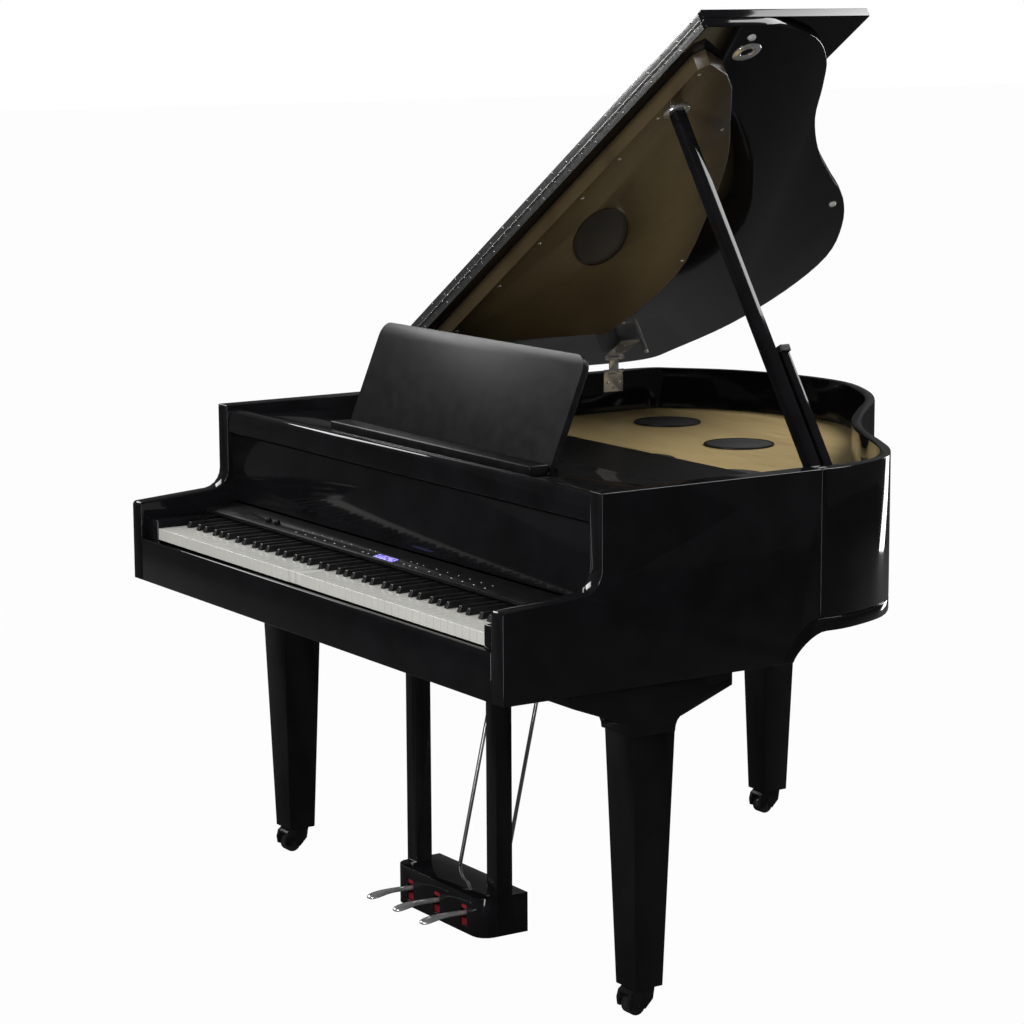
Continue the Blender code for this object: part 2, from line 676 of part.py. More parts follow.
def make_tone_board():
    edge = smooth_line(TONE_EDGE, 3)
    outline = [(TONE_LEFT, TONE_FRONT), (TONE_CORNER[0] - 0.02, TONE_FRONT), TONE_CORNER, *edge]
    outline = [(x + HALF, y) for x, y in outline]
    centre = (OVAL_CENTRE[0] + HALF, OVAL_CENTRE[1])
    hole = ellipse(centre, (OVAL_HALF[0] + 2 * GAP, OVAL_HALF[1] + 2 * GAP), OVAL_TURN)
    on_lid(plate("tone_board", [outline, hole], PLAN_PLANE, -TONE_THICK, -GAP, SPRUCE))
    face = -TONE_THICK + 0.0005
    on_lid(plate("lid_speaker_grille", [ellipse(centre, OVAL_HALF, OVAL_TURN)], PLAN_PLANE, face,
                 face + OVAL_GRILLE_THICK, MESH))


def socket_point():
    """Where the long prop's end meets its socket."""
    return LID_FRAME @ Vector((SOCKET_LOW[0] + HALF, SOCKET_LOW[1], -SOCKET_LOW_FACE))


def make_sockets():
    x = SOCKET_LOW[0] + HALF
    low = rod("prop_socket_low", (x, SOCKET_LOW[1], -SOCKET_LOW_FACE - 0.006),
              (x, SOCKET_LOW[1], -TONE_THICK - GAP), SOCKET_LOW_RADIUS, CHROME, 28)
    on_lid(low)
    meet = socket_point()
    trim(low, meet, PROP_BASE - meet)
    x = SOCKET_HIGH[0] + HALF
    high = rod("prop_socket_high", (x, SOCKET_HIGH[1], -SOCKET_HIGH_THICK), (x, SOCKET_HIGH[1], -GAP),
               SOCKET_HIGH_RADIUS, CHROME, 28)
    hole = rod("socket_hole", (x, SOCKET_HIGH[1], -0.02), (x, SOCKET_HIGH[1], 0.02), SOCKET_HOLE, CHROME)
    on_lid(combine(high, [hole], "DIFFERENCE"))


def knuckles(name, front, point, parts):
    """Hinge barrels at a pin, over the given stretches of the hinge's width."""
    return [rod(name, (point[0], front + low, point[1]), (point[0], front + high, point[1]),
                KNUCKLE, CHROME, 14) for low, high in parts]


def make_lid_hinge(side, front):
    """A leaf on the spine, a link with both pins, and a leaf under the lid."""
    back = front + HINGE_WIDE
    outer = [(0, KNUCKLE_SHARE), (HINGE_WIDE - KNUCKLE_SHARE, HINGE_WIDE)]
    middle = [(KNUCKLE_SHARE + GAP, HINGE_WIDE - KNUCKLE_SHARE - GAP)]
    low_pin = (HINGE_X, PIN_LOW)
    high_pin = (HINGE_X, PIN_HIGH)
    wall = -INNER + GAP
    leaf = box(f"{side}_rim_leaf", (wall, front + 0.0003, PIN_LOW - RIM_LEAF_DROP - 0.003),
               (wall + RIM_LEAF_THICK, back - 0.0003, PIN_LOW - KNUCKLE - GAP), CHROME)
    arms = [box("leaf_arm", (wall + 0.0004, front + low + 0.0005, PIN_LOW - KNUCKLE - 0.004),
                (wall + RIM_LEAF_THICK + 0.0004, front + high - 0.0005, PIN_LOW - 0.0008), CHROME)
            for low, high in outer]
    combine(leaf, arms + knuckles("rim_knuckle", front, low_pin, outer), "UNION")
    bore = rod("rim_bore", (HINGE_X, front - 0.01, PIN_LOW), (HINGE_X, back + 0.01, PIN_LOW),
               BORE_RADIUS, CHROME, 12)
    combine(leaf, [bore], "DIFFERENCE")
    half = LINK_THICK / 2
    link = box(f"{side}_hinge_link", (HINGE_X - half, front + middle[0][0] + 0.0005, PIN_LOW),
               (HINGE_X + half, front + middle[0][1] - 0.0005, PIN_HIGH), CHROME)
    pins = [rod("hinge_pin", (HINGE_X, front, z), (HINGE_X, back, z), PIN_RADIUS, CHROME, 12)
            for z in (PIN_LOW, PIN_HIGH)]
    barrels = knuckles("low_knuckle", front, low_pin, middle) + knuckles("high_knuckle", front, high_pin, middle)
    combine(link, barrels + pins, "UNION")
    to_lid = LID_FRAME.inverted()
    pin = to_lid @ Vector((HINGE_X, 0, PIN_HIGH))
    near = pin.x + KNUCKLE + 0.002
    lid_leaf = box(f"{side}_lid_leaf", (near, front + 0.0003, -LID_LEAF_THICK - GAP),
                   (LID_LEAF_FAR, back - 0.0003, -GAP), CHROME)
    arms = [box("leaf_arm", (pin.x, front + low + 0.0005, -LID_LEAF_THICK - 0.0002),
                (near + 0.004, front + high - 0.0005, -GAP - 0.0004), CHROME) for low, high in outer]
    barrels = knuckles("lid_knuckle", front, (pin.x, pin.z), outer)
    combine(lid_leaf, arms + barrels, "UNION")
    bore = rod("lid_bore", (pin.x, front - 0.01, pin.z), (pin.x, back + 0.01, pin.z), BORE_RADIUS, CHROME, 12)
    combine(lid_leaf, [bore], "DIFFERENCE")
    on_lid(lid_leaf)


def make_prop(name, base, end, width):
    prop = bar(name, base, end, width, EBONY)
    half = Vector((0, width / 2, 0))
    boss = rod("prop_boss", base - half, base + half, width / 2, EBONY, 24)
    combine(prop, [boss], "UNION")
    bore = rod("prop_bore", base - 3 * half, base + 3 * half, PROP_BORE, EBONY, 12)
    combine(prop, [bore], "DIFFERENCE")


def make_props():
    meet = socket_point()
    lean = (meet - PROP_BASE).normalized()
    make_prop("long_prop", PROP_BASE, meet - lean * GAP, PROP_WIDE)
    make_prop("short_prop", SHORT_BASE, SHORT_BASE + lean * SHORT_LONG, SHORT_WIDE)
    z = PROP_BASE.z
    wall = INNER - GAP
    bracket = box("prop_bracket", (wall - BRACKET_PLATE, BRACKET_FRONT, z - BRACKET_HALF_TALL),
                  (wall, BRACKET_BACK, z + BRACKET_HALF_TALL), CHROME)
    ears = []
    for front in (BRACKET_FRONT, BRACKET_BACK - BRACKET_EAR):
        ears.append(box("bracket_ear", (PROP_BASE.x - BRACKET_REACH, front + 0.0002, z - 0.010),
                        (wall - 0.0005, front + BRACKET_EAR - 0.0002, z + 0.010), CHROME))
    pin = rod("prop_pin", (PROP_BASE.x, BRACKET_FRONT + 0.002, z), (PROP_BASE.x, BRACKET_BACK - 0.002, z),
              PROP_PIN, CHROME, 12)
    combine(bracket, [*ears, pin], "UNION")


def make_legs():
    half = [(BLOCK_HALF_LONG, CASE_BOTTOM - GAP), (BLOCK_HALF_LONG, BLOCK_END_LOW), BLOCK_SHOULDER]
    neck_top = BLOCK_SHOULDER[1] - LEG_TOP
    for step in range(1, 5):
        angle = math.pi / 2 * step / 4
        out = BLOCK_NECK + (BLOCK_SHOULDER[0] - BLOCK_NECK) * (1 - math.sin(angle))
        half.append((out, LEG_TOP + neck_top * math.cos(angle)))
    profile = [(BLOCK_Y + y, z) for y, z in half] + [(BLOCK_Y - y, z) for y, z in half[::-1]]
    for name, sign in (("left", -1), ("right", 1)):
        low, high = sorted((sign * BLOCK_INNER, sign * BLOCK_OUTER))
        plate(f"{name}_leg_block", [profile], SIDE_PLANE, low, high, EBONY)
        tapered_leg(f"{name}_leg", sign * LEG_X, LEG_Y, LEG_TOP - GAP, LEG_TOP_SIDE, LEG_BOTTOM,
                    LEG_BOTTOM_SIDE, EBONY)
    taper = (LEG_TOP_SIDE - LEG_BOTTOM_SIDE) / (LEG_TOP - LEG_BOTTOM)
    top = BOARD_BOTTOM - GAP
    tapered_leg("rear_leg", *REAR_LEG, top, LEG_BOTTOM_SIDE + taper * (top - LEG_BOTTOM), LEG_BOTTOM,
                LEG_BOTTOM_SIDE, EBONY)


def make_caster(name, x, y):
    top = LEG_BOTTOM - GAP
    hood = [(0.020, top), (-0.022, top), (-0.032, 0.044), (-0.036, 0.030), (-0.034, 0.016), (0.000, 0.012),
            (0.016, 0.028)]
    hood = [(y + across, up) for across, up in hood]
    housing = plate(f"{name}_caster", [hood], SIDE_PLANE, x - CASTER_WIDE / 2, x + CASTER_WIDE / 2, SATIN)
    half = CASTER_SLOT / 2
    axle_y = y - CASTER_LEAD
    slot = box("caster_slot", (x - half, y - 0.05, -0.01), (x + half, y + 0.010, 0.041), SATIN)
    bore = rod("axle_bore", (x - 0.03, axle_y, WHEEL_RADIUS), (x + 0.03, axle_y, WHEEL_RADIUS),
               AXLE_BORE, SATIN, 12)
    combine(housing, [slot, bore], "DIFFERENCE")
    corner = WHEEL_RADIUS / math.cos(math.pi / WHEEL_SIDES)
    wheel = rod(f"{name}_wheel", (x - WHEEL_WIDE / 2, axle_y, WHEEL_RADIUS),
                (x + WHEEL_WIDE / 2, axle_y, WHEEL_RADIUS), corner, RUBBER, WHEEL_SIDES, math.pi / WHEEL_SIDES)
    axle = rod("wheel_axle", (x - AXLE_LONG / 2, axle_y, WHEEL_RADIUS),
               (x + AXLE_LONG / 2, axle_y, WHEEL_RADIUS), AXLE_RADIUS, RUBBER, 12)
    combine(wheel, [axle], "UNION")


def make_lyre():
    left, right = LYRE_X
    front, back = LYRE_Y
    plan = [(right, back), (left, back), *arc((left + LYRE_ROUND, front + LYRE_ROUND), LYRE_ROUND, 180, 270, 4),
            *arc((right - LYRE_ROUND, front + LYRE_ROUND), LYRE_ROUND, 270, 360, 4)]
    lyre = plate("lyre", [plan], PLAN_PLANE, *LYRE_Z, EBONY)
    top = CASE_BOTTOM - GAP
    posts = [box("lyre_post", (left - POST_OUT, POST_Y[0], LYRE_Z[0] + 0.002),
                 (left - POST_OUT + POST_WIDE, POST_Y[1], top), EBONY),
             box("lyre_post", (right - POST_WIDE + 0.001, POST_Y[0], LYRE_Z[0] + 0.002),
                 (right + 0.001, POST_Y[1], top), EBONY)]
    combine(lyre, posts, "UNION")
    slots = [box("pedal_slot", (x - SLOT_WIDE / 2, front - 0.05, SLOT_Z[0]), (x + SLOT_WIDE / 2, SLOT_BACK, SLOT_Z[1]),
                 EBONY) for x in PEDALS.values()]
    combine(lyre, slots, "DIFFERENCE")


def make_pedal(name, x):
    half = PEDAL_SHAFT / 2
    pad = PEDAL_PAD / 2
    neck = PEDAL_TIP + 0.050
    right = [(half, PEDAL_AXIS.y + 0.007), (half, neck), (pad - 0.0005, neck - 0.020), (pad, PEDAL_TIP + 0.015)]
    tip = ellipse((0, PEDAL_TIP + 0.015), (pad, 0.015), 0, 16)[9:16][::-1]
    left = [(-across, along) for across, along in right[::-1]]
    outline = [(x + across, along) for across, along in right + tip + left]
    z = PEDAL_AXIS.z
    pedal = plate(f"{name}_pedal", [outline], PLAN_PLANE, z - PEDAL_THICK / 2, z + PEDAL_THICK / 2, CHROME)
    reach = SLOT_WIDE / 2 - GAP
    pin = rod("pedal_pin", (x - reach, PEDAL_AXIS.y, z), (x + reach, PEDAL_AXIS.y, z), PEDAL_PIN + 0.0008,
              CHROME, 12)
    combine(pedal, [pin], "UNION")


def make_rod(name, x):
    """A brace from the lyre's back up to the case, with level ends."""
    low = LYRE_Z[1] + GAP
    high = CASE_BOTTOM - GAP
    brace = rod(name, (x, ROD_FOOT_Y, low), (x, ROD_FOOT_Y, high), ROD_RADIUS, NICKEL, 14)
    lean = (ROD_HEAD_Y - ROD_FOOT_Y) / (high - low)
    shear = Matrix.Identity(4)
    shear[1][2] = lean
    brace.data.transform(Matrix.Translation((0, -lean * low, 0)) @ shear)


def add_axis(name, place, parent):
    """An empty on a joint's axis, which carries the pieces that move about it."""
    axis = bpy.data.objects.new(name, None)
    axis.location = place
    PIANO.objects.link(axis)
    bpy.context.view_layer.update()
    if parent:
        attach(axis, parent)
    return axis


def attach(item, parent):
    item.parent = parent
    item.matrix_parent_inverse = parent.matrix_world.inverted()


def part(name):
    return bpy.data.objects[name]


def assemble():
    """Group the pieces by what they move with, then bring the whole over the origin."""
    root = add_axis("piano", (0, 0, 0), None)
    lid_axis = add_axis("lid_axis", (HINGE_X, LID_FRONT, PIN_HIGH), root)
    flap_place = LID_FRAME @ Vector((0, LID_FRONT - 0.0018, LID_THICK))
    flap_axis = add_axis("flap_axis", flap_place, lid_axis)
    moving = {flap_axis: ["flap", "flap_edge_leaf"],
              lid_axis: ["lid", "tone_board", "lid_speaker_grille", "prop_socket_low", "prop_socket_high",
                         "front_lid_leaf", "rear_lid_leaf", "lid_edge_leaf"]}
    single = {"long_prop": PROP_BASE, "short_prop": SHORT_BASE, "fallboard": FALL_AXIS,
              "music_rest": rest_axis(), "key_c4": KEY_AXIS, "key_c_sharp4": KEY_AXIS, "key_d4": KEY_AXIS,
              "volume_knob": panel_point(KNOB_X[0], KNOB_Y), "tone_knob": panel_point(KNOB_X[1], KNOB_Y)}
    for name, x in PEDALS.items():
        single[f"{name}_pedal"] = Vector((x, PEDAL_AXIS.y, PEDAL_AXIS.z))
    for name, place in single.items():
        moving[add_axis(name + "_axis", place, root)] = [name]
    for name, (x, y) in CASTERS.items():
        swivel = add_axis(name + "_swivel_axis", (x, y, LEG_BOTTOM), root)
        axle = add_axis(name + "_axle_axis", (x, y - CASTER_LEAD, WHEEL_RADIUS), swivel)
        moving[swivel] = [f"{name}_caster"]
        moving[axle] = [f"{name}_wheel"]
    placed = set()
    for axis, names in moving.items():
        for name in names:
            attach(part(name), axis)
            placed.add(name)
    pieces = [item for item in PIANO.objects if item.type == "MESH"]
    for item in pieces:
        if item.name not in placed:
            attach(item, root)
    bpy.context.view_layer.update()
    graph = bpy.context.evaluated_depsgraph_get()
    corners = [item.matrix_world @ vertex.co for item in pieces
               for vertex in item.evaluated_get(graph).data.vertices]
    low = [min(corner[axis] for corner in corners) for axis in range(3)]
    high = [max(corner[axis] for corner in corners) for axis in range(3)]
    root.location = (-(low[0] + high[0]) / 2, -(low[1] + high[1]) / 2, -low[2])
    print("moved by", tuple(round(value, 6) for value in root.location))
    bpy.context.view_layer.update()


clear_scene()
PIANO = bpy.data.collections.new("digital_grand_piano")
bpy.context.scene.collection.children.link(PIANO)
EBONY = add_material("polished_ebony", (0.012, 0.012, 0.013), 0.08)
SATIN = add_material("satin_black", (0.02, 0.02, 0.02), 0.4)
IVORY = add_material("white_key", (0.85, 0.84, 0.80), 0.25)
SHARP = add_material("black_key", (0.015, 0.015, 0.015), 0.35)
SPRUCE = add_material("spruce", (0.62, 0.38, 0.16), 0.4)
CHROME = add_material("chrome", (0.8, 0.8, 0.8), 0.15, 1.0)
NICKEL = add_material("satin_nickel", (0.65, 0.64, 0.62), 0.3, 1.0)
MESH = add_material("grille_black", (0.03, 0.03, 0.03), 0.6)
GLOW = add_material("display_window", (0.12, 0.10, 0.45), 0.2)
RUBBER = add_material("wheel_black", (0.03, 0.03, 0.03), 0.6)
CASTERS = {"left": (-LEG_X, LEG_Y), "right": (LEG_X, LEG_Y), "rear": REAR_LEG}

make_side_panels()
make_rim()
make_bottom_board()
make_key_bed()
make_fixed_keys()
make_moving_keys()
make_control_panel()
make_fallboard()
make_music_shelf()
make_music_rest()
make_inside()
make_lid()
make_tone_board()
make_sockets()
for hinge_side, hinge_front in HINGE_FRONTS.items():
    make_lid_hinge(hinge_side, hinge_front)
make_props()
make_legs()
for caster_name, (caster_x, caster_y) in CASTERS.items():
    make_caster(caster_name, caster_x, caster_y)
make_lyre()
for pedal_name, pedal_x in PEDALS.items():
    make_pedal(pedal_name, pedal_x)
for rod_side, rod_x in ROD_X.items():
    make_rod(f"lyre_rod_{rod_side}", rod_x)
assemble()
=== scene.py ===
"""The looks of the digital grand piano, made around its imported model.

Places are in the model's own frame. Those that don't come from a box of the frame are measured from two
marks, the middle of the case across and the front of its arms, which at() adds. Places on the lid are
those of the closed lid, which lid_at() turns with it.
"""
import json
import math

import bmesh
import bpy
from mathutils import Matrix, Vector


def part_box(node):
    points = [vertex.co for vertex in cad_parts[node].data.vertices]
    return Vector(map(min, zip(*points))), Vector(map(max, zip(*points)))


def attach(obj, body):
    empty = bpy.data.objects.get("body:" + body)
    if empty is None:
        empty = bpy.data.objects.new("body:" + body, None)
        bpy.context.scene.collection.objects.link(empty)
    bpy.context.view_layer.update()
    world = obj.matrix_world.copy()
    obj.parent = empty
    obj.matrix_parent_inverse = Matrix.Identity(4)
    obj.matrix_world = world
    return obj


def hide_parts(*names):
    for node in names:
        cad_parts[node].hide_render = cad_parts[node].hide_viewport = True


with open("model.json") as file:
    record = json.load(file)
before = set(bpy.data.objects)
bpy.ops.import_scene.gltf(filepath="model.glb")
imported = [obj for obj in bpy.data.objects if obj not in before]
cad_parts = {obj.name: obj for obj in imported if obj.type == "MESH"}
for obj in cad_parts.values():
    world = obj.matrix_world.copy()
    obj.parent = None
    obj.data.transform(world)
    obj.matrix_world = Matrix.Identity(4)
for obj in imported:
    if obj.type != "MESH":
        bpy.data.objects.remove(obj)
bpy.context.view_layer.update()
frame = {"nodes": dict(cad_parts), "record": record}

# Case and lid
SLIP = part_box("keyslip")
MIDDLE_X = (SLIP[0][0] + SLIP[1][0]) / 2
FRONT_Y = SLIP[0][1]
CASE_HALF = 0.6968
LID_ANGLE = math.radians(32.9)
LID_EDGE = Vector((-0.692 + MIDDLE_X, FRONT_Y, 0.968))
LID_FRAME = Matrix.Translation(LID_EDGE) @ Matrix.Rotation(-LID_ANGLE, 4, "Y")
LID_TURN = LID_FRAME.to_3x3().to_4x4()
LID_THICK = 0.018
TONE_FACE = -0.033

# Keyboard
WHITE_COUNT = 52
KEYS_HALF = 0.613
PITCH = 2 * KEYS_HALF / WHITE_COUNT
KEY_GAP = 0.001
KEY_FRONT = 0.016
KEY_ROOT = 0.200
WHITE_LOW = 0.700
WHITE_TOP = 0.723
WHITE_EDGE = 0.0009
RAIL_INSET = 0.002
RAIL_NEAR = 0.001
RAIL_FAR = 0.014
RAIL_LOW = 0.6355
RAIL_TOP = 0.722
BLACK_LOW = 0.7233
BLACK_MOVING_LOW = 0.712
BLACK_TOP = 0.735
BLACK_WIDTH = 0.0115
BLACK_TOP_WIDTH = 0.0092
BLACK_FRONT = 0.068
BLACK_ROOT_GAP = 0.0005
BLACK_SLOPE = 0.006
BLACK_EDGE = 0.0013
BLACK_OFFSETS = {"A": 0.0035, "C": -0.0025, "D": 0.0025, "F": -0.0035, "G": 0.0}
MIDDLE_C = 23
KEY_SEGMENTS = 3

# Pedals: how far behind the tip, half width, half thickness and rise above the shaft
PEDAL_LEVEL = 0.070
PEDAL_STATIONS = (
    (0.000, 0.0040, 0.0012, -0.0030),
    (0.002, 0.0085, 0.0030, -0.0026),
    (0.007, 0.0125, 0.0038, -0.0018),
    (0.015, 0.0145, 0.0040, -0.0004),
    (0.025, 0.0144, 0.0040, 0.0012),
    (0.038, 0.0118, 0.0040, 0.0026),
    (0.052, 0.0090, 0.0040, 0.0032),
    (0.075, 0.0080, 0.0040, 0.0026),
    (0.110, 0.0078, 0.0040, 0.0006),
    (0.172, 0.0078, 0.0040, 0.0),
)
PEDAL_STEPS = 16
PEDAL_SIDE_POWER = 0.7
PEDAL_TOP_POWER = 0.8
FELT_FRONT = 0.262
FELT_HALF = 0.0105
FELT_DEEP = 0.020
FELT_EDGE = 0.0015
FELT_HEIGHTS = ((0.0465, 0.0595), (0.0790, 0.0875))

# Screws and bumpers: x and y on the closed lid, or across and up on a leaf
SCREW_RADIUS = 0.0042
SCREW_TALL = 0.0014
SCREW_STEPS = 14
TONE_ROW_Y = 0.612
TONE_ROW_X = (0.590, 0.440, 0.293, 0.146, -0.031, -0.206, -0.400)
TONE_OTHER_SCREWS = ((-0.144, 1.026), (-0.421, 1.043), (0.095, 0.935), (0.390, 0.790))
BUMPERS = ((0.662, 0.697, 0.008), (0.010, 1.330, 0.008), (-0.640, 1.245, 0.005))
RIM_LEAF_FACE = -0.6558
RIM_LEAF_SCREWS = ((-0.016, 0.930), (0.016, 0.930), (0.0, 0.918))
LID_LEAF_FACE = -0.0026
LID_LEAF_SCREWS = ((0.065, -0.015), (0.065, 0.015), (0.095, 0.0), (0.108, -0.015), (0.108, 0.015))

# Ring round the oval grille in the tone board
OVAL_CENTRE = Vector((-0.02, 0.752))
OVAL_HALF = (0.1275, 0.0545)
OVAL_TURN = math.radians(-28)
OVAL_WIDTH = 0.004
OVAL_INNER = -0.0325
OVAL_FACE = -0.0345
OVAL_OUTER = -0.0329

# Long hinge between lid and flap
KNUCKLE_COUNT = 54
KNUCKLE_INSET = 0.01
KNUCKLE_Y = 0.5742
KNUCKLE_RADIUS = 0.0021
KNUCKLE_END_RADIUS = 0.0016
KNUCKLE_END = 0.0006
KNUCKLE_GAP = 0.0004
KNUCKLE_STEPS = 10
EDGE_LEAF_FACE = 0.5746
EDGE_LEAF_MIDDLES = (("lid", 0.0085), ("flap", 0.0275))
EDGE_SCREWS = 26
EDGE_SCREW_FIRST = 0.035
EDGE_SCREW_PITCH = 0.0529
EDGE_SCREW_STAGGER = 0.003
EDGE_SCREW_RADIUS = 0.0028
EDGE_SCREW_TALL = 0.0008

# Speaker grilles on the soundboard
ROUND_STEPS = 48
RIM_WIDTH = 0.0045
RIM_SHOULDER = 0.0035
RIM_GAP = 0.0003
RIM_SIDE_TALL = 0.0020
RIM_SHOULDER_TALL = 0.0036
RIM_TALL = 0.0040
COVERED_PLACES = ((-0.05, 0.81), (0.22, 0.83))
COVERED_RADIUS = 0.0685
COVERED_STEPS = 64
COVERED_TALL = 0.003
COVERED_EDGE = 0.0006
COVERED_LIFT = 0.0003
COVER_GAP = 0.0005

# Touch marks on the control panel: a row of bars and a row of lamps behind it
PANEL_FRONT_Y = 0.148
PANEL_FRONT_Z = 0.745
PANEL_SLOPE = math.atan2(0.010, 0.062)
MARK_PITCH = 0.038
MARK_PLACES = (
    *(-0.300 + MARK_PITCH * step for step in range(6)),
    *(-0.040, -0.020),
    *(0.110, 0.132, 0.154),
    *(0.200 + MARK_PITCH * step for step in range(6)),
)
MARK_ROWS = ((0.160, 0.0022), (0.176, 0.0010))
MARK_HALF_DEEP = 0.0007
MARK_LOW = 0.00005
MARK_TOP = 0.00035

# Cap on the short prop
CAP_INSET = 0.010
CAP_DROP = 0.004
CAP_LEAN = math.radians(-28.1)
CAP_HALF = 0.011
CAP_TALL = 0.014
CAP_EDGE = 0.002

# Camera, fitted to the photograph
CAMERA_PLACE = (4.837, -2.661, 1.784)
CAMERA_YAW = math.radians(57.086)
CAMERA_PITCH = math.radians(9.702)
CAMERA_ROLL = math.radians(-0.293)
CAMERA_LENS = 106.56
SENSOR = 36.0

# Light: the room's strength on the piano and in mirrors, the floor's white share, and the panels as name,
# place, the point they face, size and power
ROOM_LIGHT = 0.55
ROOM_MIRRORED = 0.07
FLOOR_WHITE = 0.98
FLOOR_SIZE = 40
PANELS = (
    ("left_panel", (-3.6, -1.0, 2.9), (0, 0, 0.8), (1.6, 1.6), 65),
    ("top_panel", (0.7, 2.0, 3.6), (0, 0, 0.8), (2.2, 1.4), 110),
    ("back_panel", (-0.3, 3.8, 1.0), (0.4, 0, 0.8), (0.9, 2.2), 60),
    ("front_panel", (2.3, -3.4, 0.9), (0.2, -0.4, 0.6), (0.5, 1.8), 45),
    ("keys_panel", (0.6, -3.2, 3.0), (0, -0.4, 0.7), (1.8, 1.0), 60),
)

# Width of the broken edges, and the nodes that differ from the usual one
EDGE = 0.0018
EDGE_WIDTHS = {
    0.0002: ("front_hinge_link", "rear_hinge_link", "front_rim_leaf", "rear_rim_leaf", "front_lid_leaf",
             "rear_lid_leaf"),
    0.0003: ("display", "lid_edge_leaf", "flap_edge_leaf"),
    0.0005: ("lyre_rod_left", "lyre_rod_right", "prop_bracket", "prop_socket_low"),
    0.0006: ("lid_speaker_grille",),
    0.0007: ("volume_knob", "tone_knob"),
    0.0008: ("control_panel", "speaker_grille_1", "speaker_grille_2", "music_shelf"),
    0.0009: ("key_c4", "key_d4"),
    0.0012: ("left_wheel", "right_wheel", "rear_wheel", "prop_socket_high"),
}
EDGES = {node: width for width, nodes in EDGE_WIDTHS.items() for node in nodes}
SMOOTH_ANGLE = math.radians(35)
SAME_POINT = 0.00002
FLAT_ANGLE = math.radians(0.5)
REBUILT = ("white_keys", "black_keys", "key_c_sharp4", "left_pedal", "middle_pedal", "right_pedal")


def at(x, y, z):
    """A place measured from the middle of the case, the front of the arms and the floor."""
    return Vector((x + MIDDLE_X, y + FRONT_Y, z))


def lid_at(x, y, n):
    """A place on the lid: x as when it is closed, y along it, n above its underside."""
    return LID_FRAME @ Vector((x + CASE_HALF, y, n))


def under_lid(x, y, n):
    """A place on the lid that faces down out of its underside."""
    return Matrix.Translation(lid_at(x, y, n)) @ LID_TURN @ Matrix.Rotation(math.pi, 4, "X")


def new_material(name):
    material = bpy.data.materials.new(name)
    material.use_nodes = True
    nodes = material.node_tree.nodes
    return material, nodes, material.node_tree.links, nodes["Principled BSDF"]


def ramp(nodes, links, source, stops):
    """A colour ramp over a value, with stops of place and colour."""
    node = nodes.new("ShaderNodeValToRGB")
    elements = node.color_ramp.elements
    while len(elements) < len(stops):
        elements.new(0.5)
    for element, (place, colour) in zip(elements, stops):
        element.position = place
        element.color = (*colour, 1.0)
    links.new(source, node.inputs["Fac"])
    return node.outputs["Color"]


def noise(nodes, links, scale, stretch=(1, 1, 1), turn=(0, 0, 0), detail=4.0):
    """Noise in the object's coordinates, stretched and turned."""
    coords = nodes.new("ShaderNodeTexCoord")
    mapping = nodes.new("ShaderNodeMapping")
    mapping.inputs["Scale"].default_value = stretch
    mapping.inputs["Rotation"].default_value = turn
    texture = nodes.new("ShaderNodeTexNoise")
    texture.inputs["Scale"].default_value = scale
    texture.inputs["Detail"].default_value = detail
    links.new(coords.outputs["Object"], mapping.inputs["Vector"])
    links.new(mapping.outputs["Vector"], texture.inputs["Vector"])
    return texture.outputs["Fac"]


def rough_from(nodes, links, source, low, high):
    """A roughness between low and high that follows a value."""
    node = nodes.new("ShaderNodeMapRange")
    node.inputs["To Min"].default_value = low
    node.inputs["To Max"].default_value = high
    links.new(source, node.inputs["Value"])
    return node.outputs["Result"]


def bump(nodes, links, source, shader, strength, distance):
    """Relief on a shader from a value."""
    node = nodes.new("ShaderNodeBump")
    node.inputs["Strength"].default_value = strength
    node.inputs["Distance"].default_value = distance
    links.new(source, node.inputs["Height"])
    links.new(node.outputs["Normal"], shader.inputs["Normal"])


def plain_material(name, dark, light, rough, scale, metallic=0.0, level=0.5, grain=0.0, stretch=(1, 1, 1)):
    """A material whose colour and roughness vary a little, with a fine grain if asked."""
    grain_share = 12
    grain_depth = 0.0004
    material, nodes, links, shader = new_material(name)
    value = noise(nodes, links, scale, stretch)
    links.new(ramp(nodes, links, value, [(0.35, dark), (0.65, light)]), shader.inputs["Base Color"])
    links.new(rough_from(nodes, links, value, *rough), shader.inputs["Roughness"])
    shader.inputs["Metallic"].default_value = metallic
    shader.inputs["Specular IOR Level"].default_value = level
    if grain:
        bump(nodes, links, noise(nodes, links, scale * grain_share, stretch), shader, grain, grain_depth)
    return material


def wood_material(name, turn, light, dark):
    """Clear-lacquered wood: long streaks, fine pores and slow bands of colour."""
    pale = tuple(channel * 1.12 for channel in light)
    band = (0.80, 0.78, 0.74)
    white = (1.0, 1.0, 1.0)
    material, nodes, links, shader = new_material(name)
    streaks = noise(nodes, links, 9.0, (1.0, 26.0, 1.0), turn, 8.0)
    colour = ramp(nodes, links, streaks, [(0.30, dark), (0.50, light), (0.72, pale)])
    bands = noise(nodes, links, 2.2, (1.0, 5.0, 1.0), turn, 3.0)
    shade = ramp(nodes, links, bands, [(0.30, band), (0.70, white)])
    mix = nodes.new("ShaderNodeMix")
    mix.data_type = "RGBA"
    mix.blend_type = "MULTIPLY"
    mix.inputs["Factor"].default_value = 1.0
    links.new(colour, mix.inputs["A"])
    links.new(shade, mix.inputs["B"])
    links.new(mix.outputs["Result"], shader.inputs["Base Color"])
    links.new(rough_from(nodes, links, streaks, 0.28, 0.42), shader.inputs["Roughness"])
    pores = noise(nodes, links, 60.0, (1.0, 30.0, 1.0), turn)
    bump(nodes, links, pores, shader, 0.15, 0.0003)
    return material


